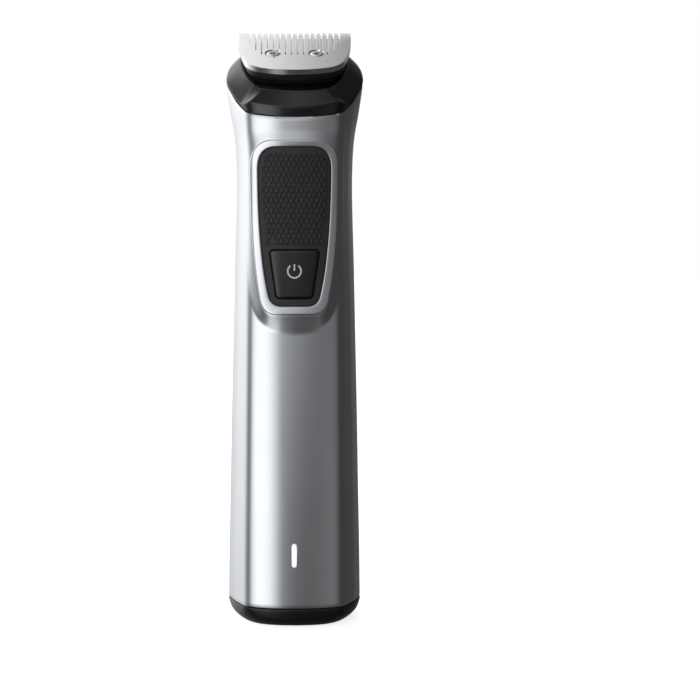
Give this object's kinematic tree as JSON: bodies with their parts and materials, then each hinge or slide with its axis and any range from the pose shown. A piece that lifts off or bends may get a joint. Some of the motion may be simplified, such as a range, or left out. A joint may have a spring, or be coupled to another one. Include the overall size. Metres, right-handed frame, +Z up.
{
  "type": "beard trimmer",
  "caption": "Slim cordless beard trimmer: flared silver handle, textured grip with power button, tilted toothed steel blade on a pull-off head.",
  "frame": {"origin": "middle of the footprint, on the surface the trimmer stands on", "axes": "+Z up the handle towards the cutting head, -Y the front with the power button, +X to the right seen from the front"},
  "size_m": [0.0394, 0.0335, 0.1693],
  "materials": {
    "silver_shell": "satin metallic silver paint on moulded plastic",
    "black_gloss": "polished piano black",
    "black_satin": "fine satin moulded black",
    "grip_rubber": "matte charcoal rubber with raised diamonds",
    "blade_steel": "fine ground stainless steel",
    "screw_steel": "bright machined steel",
    "motor_steel": "zinc plated drawn can",
    "contact_brass": "polished contact pins",
    "seal_rubber": "soft black seal rubber",
    "white_nylon": "natural nylon",
    "lens_white": "diffusing light pipe, lit white",
    "board_green": "green solder mask",
    "cell_wrap": "blue shrink wrapped cell"
  },
  "bodies": {
    "handle": {"front_shell": "silver_shell", "rear_shell": "silver_shell", "neck_collar": "black_gloss", "base_cap": "black_satin", "base_seal": "seal_rubber", "grip_bezel": "silver_shell", "grip_pad": "grip_rubber", "indicator_lens": "lens_white", "status_led": "white_nylon", "charge_socket": "black_satin", "charge_pin_left": "contact_brass", "charge_pin_right": "contact_brass", "chassis": "black_satin", "circuit_board": "board_green", "board_screw_lower": "screw_steel", "board_screw_upper": "screw_steel", "switch_body": "white_nylon", "battery_cell": "cell_wrap", "battery_tab_bottom": "screw_steel", "battery_tab_top": "screw_steel", "motor_can": "motor_steel", "motor_mount": "black_satin", "motor_screw_left": "screw_steel", "motor_screw_right": "screw_steel", "neck_seal": "seal_rubber", "base_screw_left": "screw_steel", "base_screw_right": "screw_steel"},
    "button": {"power_button": "black_gloss"},
    "plunger": {"switch_plunger": "black_satin"},
    "rotor": {"motor_shaft": "screw_steel", "eccentric_cam": "white_nylon"},
    "head": {"head_base": "black_satin", "guard_plate": "blade_steel", "guard_screw_left": "screw_steel", "guard_screw_right": "screw_steel", "cutter_spring": "screw_steel"},
    "cutter": {"cutter_plate": "blade_steel", "cutter_bridge": "white_nylon"}
  },
  "joints": [
    {"name": "button_press", "type": "slide", "parent": "handle", "child": "button", "axis": [0, 1, 0], "range_m": [0, 0.0005], "stiffness_N_per_m": 900, "springref_m": -0.001},
    {"name": "plunger_press", "type": "slide", "parent": "handle", "child": "plunger", "axis": [0, 1, 0], "range_m": [0, 0.0005]},
    {"name": "motor_spin", "type": "hinge", "parent": "handle", "child": "rotor", "pos_m": [0, -0.0018, 0.142], "axis": [0, 0, 1], "continuous": true},
    {"name": "head_pull", "type": "slide", "parent": "handle", "child": "head", "axis": [0, -0.5, 0.866], "range_m": [0, 0.03]},
    {"name": "cutter_slide", "type": "slide", "parent": "head", "child": "cutter", "axis": [1, 0, 0], "range_m": [-0.0009, 0.0009]}
  ],
  "couplings": [
    {"joint": "plunger_press", "follows": "button_press", "ratio": 1}
  ]
}
